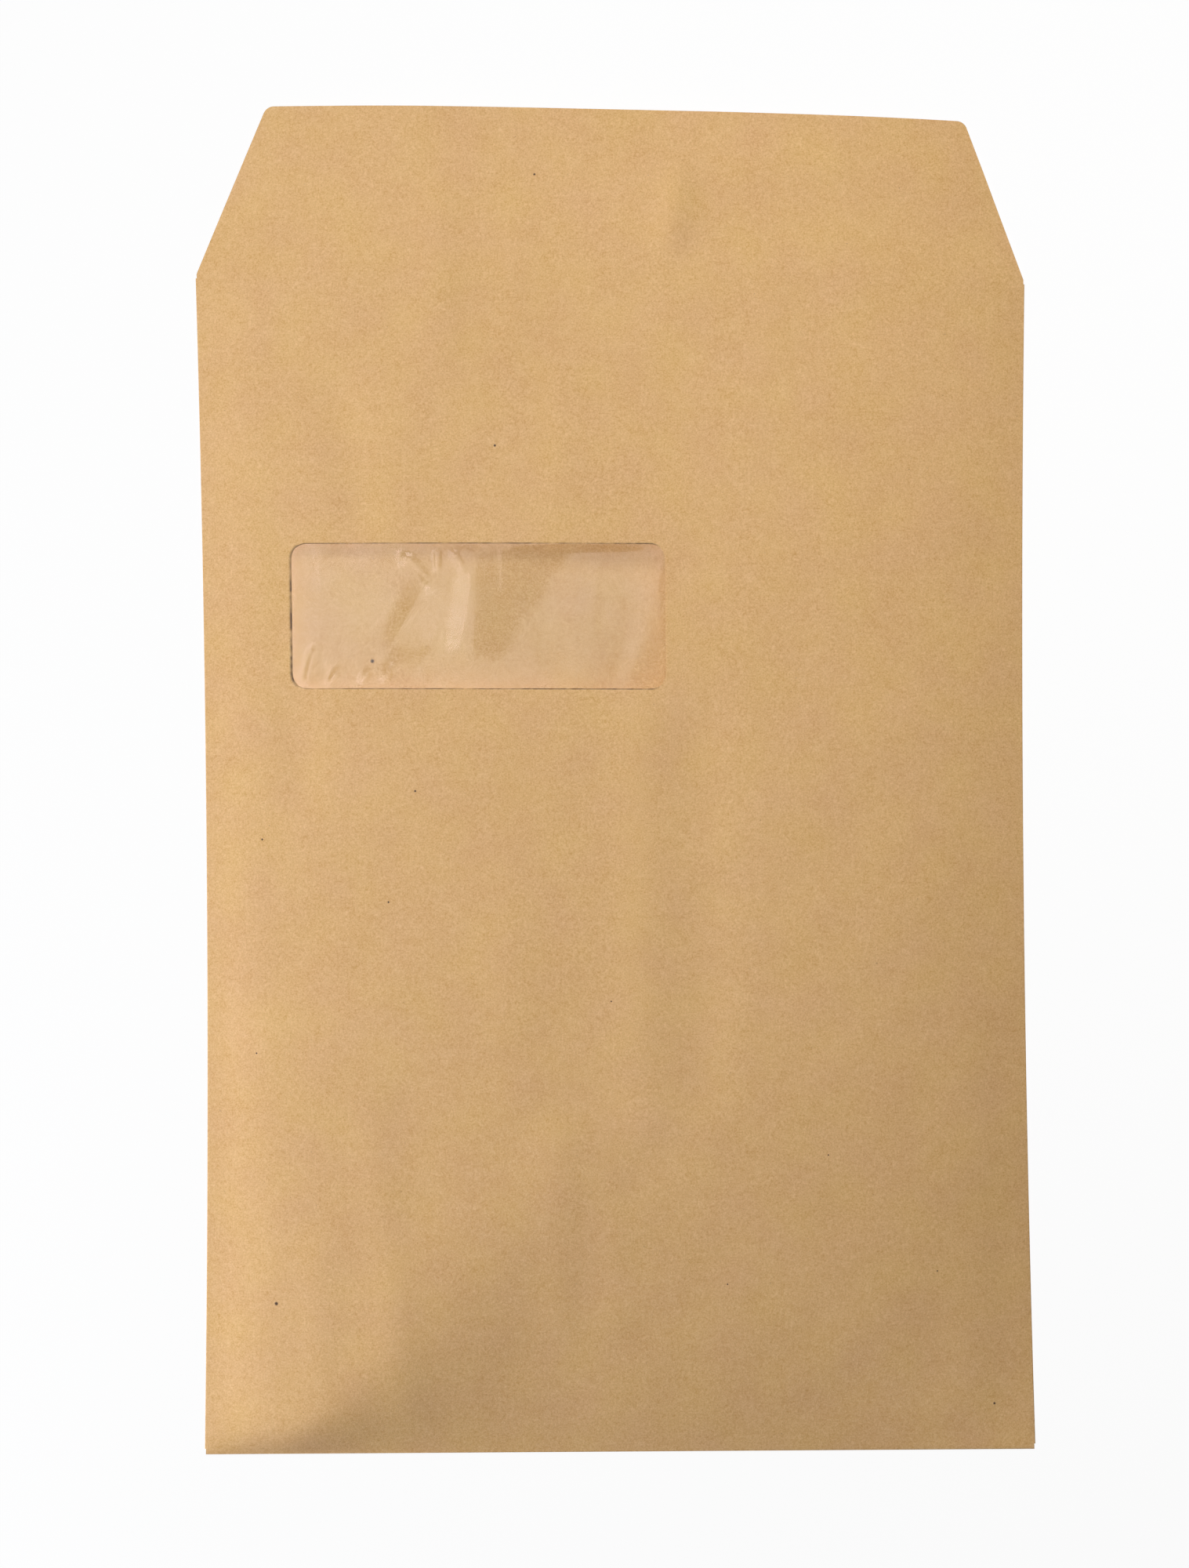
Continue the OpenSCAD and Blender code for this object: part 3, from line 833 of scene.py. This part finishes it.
def makePaperFinish():
    f = Finish("buffPaper")
    fibres, dots = paperFinish["fibres"], paperFinish["flecks"]
    (paleFrom, palePull), (darkFrom, darkPull) = fibres["pale"], fibres["dark"]
    shifts = [(f.grain(size), share) for size, share in paperFinish["mottle"]]
    pale, dark = 0.0, 0.0
    for angle in fibres["angles"]:
        along = f.grain(fibres["width"], 1.0, f.turned(angle, (fibres["squeeze"], 1, 1)))
        pale = pale + f.over(along, paleFrom, fibres["soft"])
        dark = dark + f.over(-1.0 * along, darkFrom, fibres["soft"])
    shifts += [(pale, palePull), (dark, darkPull)]
    colour = f.tint(paperFinish["colour"][:3], shifts)
    flecks = f.over(f.grain(dots["size"]), dots["threshold"], dots["soft"]) * dots["strength"]
    for centre, radius in paperFinish["specks"]:
        flecks = flecks + f.spot(centre, radius)
    # The specks, and the painted shadow along the window's cut edge, take the dark colour
    colour = f.blend(f.clamp(flecks + paintedCutShadow(f)), colour, paperFinish["speckAndShadowColour"])
    fine, coarse = paperFinish["bumpSizes"]
    height = f.grain(fine, 1.0) * 0.5 + f.grain(coarse) * 0.5 + pale * fibres["height"]
    inputs = {"Height": height, "Strength": 1.0, "Distance": paperFinish["bump"] * mm}
    size, spread = paperFinish["roughnessClouds"]
    inputs = {
        "Base Color": colour,
        "Roughness": f.clamp(paperFinish["roughness"] + f.grain(size) * spread),
        "Normal": f.add("ShaderNodeBump", None, inputs),
        "Specular IOR Level": paperFinish["specular"],
    }
    return f.close(f.add("ShaderNodeBsdfPrincipled", None, inputs))


filmFinish = {
    "clear": (0.965, 0.972, 0.960, 1),  # what each face lets through
    "colour": (0.95, 0.83, 0.79, 1),
    "metallic": 0.66,  # the share of its veil that is gloss and not milkiness
    "roughness": 0.19,
    "veil": 0.06,  # how much of it shows when it is seen straight on
    "edgeVeil": 0.8,  # how much more when it is seen edge on
    "edgeBlend": 0.35,
    "scuffs": {"size": 0.5, "angle": 0.8, "squeeze": 0.06, "threshold": 0.9, "soft": 0.6},
    "scuffVeil": 0.02,
    "scuffRoughness": 0.1,
    "clouds": (6, 0.008),  # their size in millimetres, and how much more of the veil they have
}
driedFinish = {
    "clouds": [(4, (0.05, 0.05, 0.07)), (0.8, (0.03, 0.03, 0.04))],  # as the paper's mottle
    "roughnessClouds": [(3, 0.12), (0.7, 0.06)],
    "bump": 0.02,
    "bumpSize": 1.2,
}


def makeFilmFinish():
    # Clear, with a thin glossy veil on the side that is seen, which thickens edge on
    f = Finish("clearFilm")
    clear = f.add("ShaderNodeBsdfTransparent", None, {"Color": filmFinish["clear"]})
    marks = filmFinish["scuffs"]
    place = f.turned(marks["angle"], (marks["squeeze"], 1, 1))
    scuffs = f.over(f.grain(marks["size"], 1.0, place), marks["threshold"], marks["soft"])
    inputs = {
        "Base Color": filmFinish["colour"],
        "Metallic": filmFinish["metallic"],
        "Roughness": f.clamp(filmFinish["roughness"] + filmFinish["scuffRoughness"] * scuffs),
    }
    gloss = f.add("ShaderNodeBsdfPrincipled", None, inputs)
    edgeOn = f.add("ShaderNodeLayerWeight", None, {"Blend": filmFinish["edgeBlend"]}, "Fresnel")
    size, share = filmFinish["clouds"]
    amount = filmFinish["veil"] + filmFinish["edgeVeil"] * edgeOn * edgeOn
    amount = f.clamp(amount + filmFinish["scuffVeil"] * scuffs + share * f.grain(size))
    fromBehind = f.add("ShaderNodeNewGeometry", output="Backfacing")
    inputs = {0: amount * (1 - fromBehind), 1: clear, 2: gloss}
    return f.close(f.add("ShaderNodeMixShader", None, inputs))


def makeGlueFinish(name, colour, roughness):
    # Dried glue: its colour clouds over a few millimetres, and its gloss breaks up
    f = Finish(name)
    shifts = [(f.grain(size), share) for size, share in driedFinish["clouds"]]
    height = f.grain(driedFinish["bumpSize"], 1.0)
    bump = f.add("ShaderNodeBump", None, {"Height": height, "Distance": driedFinish["bump"] * mm})
    for size, share in driedFinish["roughnessClouds"]:
        roughness = roughness + share * f.grain(size)
    inputs = {
        "Base Color": f.tint(colour, shifts),
        "Roughness": f.clamp(roughness),
        "Normal": bump,
    }
    return f.close(f.add("ShaderNodeBsdfPrincipled", None, inputs))


view = {
    "target": (-5.35, -0.44, 0.0),  # millimetres, in the envelope's frame
    "distance": 797.0,
    "tilt": (-0.300, -0.500, 0.499),  # degrees about X, Y and Z that the envelope leans
    "pixelsHigh": 2000,
    "focalPixels": 3682,
    "sensor": 36.0,
}


def makeCamera():
    a, b, c = (math.radians(angle) for angle in view["tilt"])
    lean = Matrix.Rotation(c, 3, "Z") @ Matrix.Rotation(b, 3, "Y") @ Matrix.Rotation(a, 3, "X")
    turn = lean.transposed()
    place = Vector(view["target"]) * mm + turn @ Vector((0, 0, view["distance"] * mm))
    data = bpy.data.cameras.new("camera")
    data.sensor_width = view["sensor"]
    data.lens = view["focalPixels"] * view["sensor"] / view["pixelsHigh"]
    data.clip_start = 0.01
    camera = bpy.data.objects.new("camera", data)
    camera.matrix_world = Matrix.Translation(place) @ turn.to_4x4()
    bpy.context.scene.collection.objects.link(camera)
    bpy.context.scene.camera = camera


studio = {
    # Each lamp's place and size in metres, and its share of the light on the envelope's middle.
    # Only the key lamp casts shadows, because the others would leave the pocket dark under the
    # window. The two cards only show as reflections in the film.
    "lamps": [
        {
            "name": "overhead",
            "place": (0.25, 0.15, 0.45),
            "size": 0.24,
            "share": 0.32,
            "colour": (1, 0.98, 0.93),
        },
        {
            "name": "key",
            "place": (-0.06, 0.52, 0.62),
            "size": 0.30,
            "share": 0.23,
            "shadow": True,
        },
        {
            "name": "leftLow",
            "place": (-0.68, -0.30, 0.26),
            "size": 0.26,
            "share": 0.268,
            "colour": (0.98, 1, 1.1),
        },
        {
            "name": "topLow",
            "place": (-0.50, 1.86, 0.55),
            "size": 0.4,
            "share": 0.085,
        },
        {
            "name": "card",
            "place": (-0.15, 0, 0.55),
            "size": 0.44,
            "length": 0.31,
            "share": 0.31,
            "glossOnly": True,
        },
        {
            "name": "brightCard",
            "place": (-0.36, 0, 0.50),
            "size": 0.36,
            "length": 0.16,
            "share": 0.20,
            "glossOnly": True,
        },
    ],
    "worldShare": 0.075,
    "background": 1.0,
    "mirrored": 0.1,  # how bright the background is in reflections
    "floorColour": (0.86, 0.86, 0.855, 1),
    "floorGlow": 0.9,  # share of the floor that the camera sees as plain white
}


def makeLamp(
    name, place, size, share, length=None, colour=(1, 1, 1), shadow=False, glossOnly=False
):
    # A square or oblong lamp that faces the origin, where a white surface renders as its share
    away = Vector(place)
    slant = away.z / away.length
    data = bpy.data.lights.new(name, "AREA")
    data.shape = "RECTANGLE"
    data.size = size
    data.size_y = length or size
    data.color = colour
    data.energy = share * (math.pi * away.length) ** 2 / slant
    data.use_shadow = shadow
    lamp = bpy.data.objects.new(name, data)
    lamp.matrix_world = Matrix.Translation(away) @ away.to_track_quat("Z", "Y").to_matrix().to_4x4()
    lamp.visible_camera = False
    lamp.visible_diffuse = not glossOnly
    bpy.context.scene.collection.objects.link(lamp)


def makeStudio():
    for lamp in studio["lamps"]:
        makeLamp(**lamp)

    world = bpy.data.worlds.new("studio")
    world.use_nodes = True
    bpy.context.scene.world = world
    nodes, links = world.node_tree.nodes, world.node_tree.links
    nodes.clear()
    # The background's strength: its share as light, another for the camera and in reflections
    ray = nodes.new("ShaderNodeLightPath")
    strength = nodes.new("ShaderNodeValue").outputs[0]
    strength.default_value = studio["worldShare"]
    for output, seen in (("Is Camera Ray", "background"), ("Is Glossy Ray", "mirrored")):
        part = nodes.new("ShaderNodeMath")
        part.operation = "MULTIPLY_ADD"
        part.inputs[1].default_value = studio[seen] - studio["worldShare"]
        links.new(ray.outputs[output], part.inputs[0])
        links.new(strength, part.inputs[2])
        strength = part.outputs[0]
    background = nodes.new("ShaderNodeBackground")
    background.inputs["Color"].default_value = (1, 1, 1, 1)
    links.new(strength, background.inputs["Strength"])
    output = nodes.new("ShaderNodeOutputWorld")
    links.new(background.outputs[0], output.inputs["Surface"])

    f = Finish("paleFloor")
    matt = f.add("ShaderNodeBsdfDiffuse", None, {"Color": studio["floorColour"]})
    glow = f.add("ShaderNodeEmission", None, {"Color": (1, 1, 1, 1), "Strength": 1.0})
    isCamera = f.add("ShaderNodeLightPath", output="Is Camera Ray")
    inputs = {0: isCamera * studio["floorGlow"], 1: matt, 2: glow}
    f.close(f.add("ShaderNodeMixShader", None, inputs))
    mesh = bpy.data.meshes.new("floor")
    reach, below = 3.0, -0.00005
    corners = [(x * reach, y * reach, below) for x, y in ((-1, -1), (1, -1), (1, 1), (-1, 1))]
    mesh.from_pydata(corners, [], [(0, 1, 2, 3)])
    mesh.materials.append(f.material)
    floor = bpy.data.objects.new("floor", mesh)
    bpy.context.scene.collection.objects.link(floor)


bpy.context.scene.view_settings.view_transform = "Standard"
makeCamera()
makeStudio()
print("camera, lamps and floor are in place")

paperMaterial = makePaperFinish()
filmMaterial = makeFilmFinish()
glueMaterial = makeGlueFinish("driedGlue", (0.74, 0.68, 0.55), 0.4)
gumMaterial = makeGlueFinish("driedGum", (0.60, 0.46, 0.24), 0.25)
print("finishes are built")

for make, material, node, slot in (
    (makePaper, paperMaterial, "paper_blank", "paper"),
    (makeFilm, filmMaterial, "window_film", "film"),
    (makeWindowGlue, glueMaterial, "window_glue", "glue"),
    (makeSeamGlue, glueMaterial, "seam_glue", "glue"),
    (makeFlapGum, gumMaterial, "flap_gum", "gum"),
):
    piece = make()
    piece.data.materials.append(material)
    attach(piece, "root")
    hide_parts(node)
print("pieces are made")

for slot in bpy.data.objects["bottom_glue"].material_slots:
    slot.material = glueMaterial
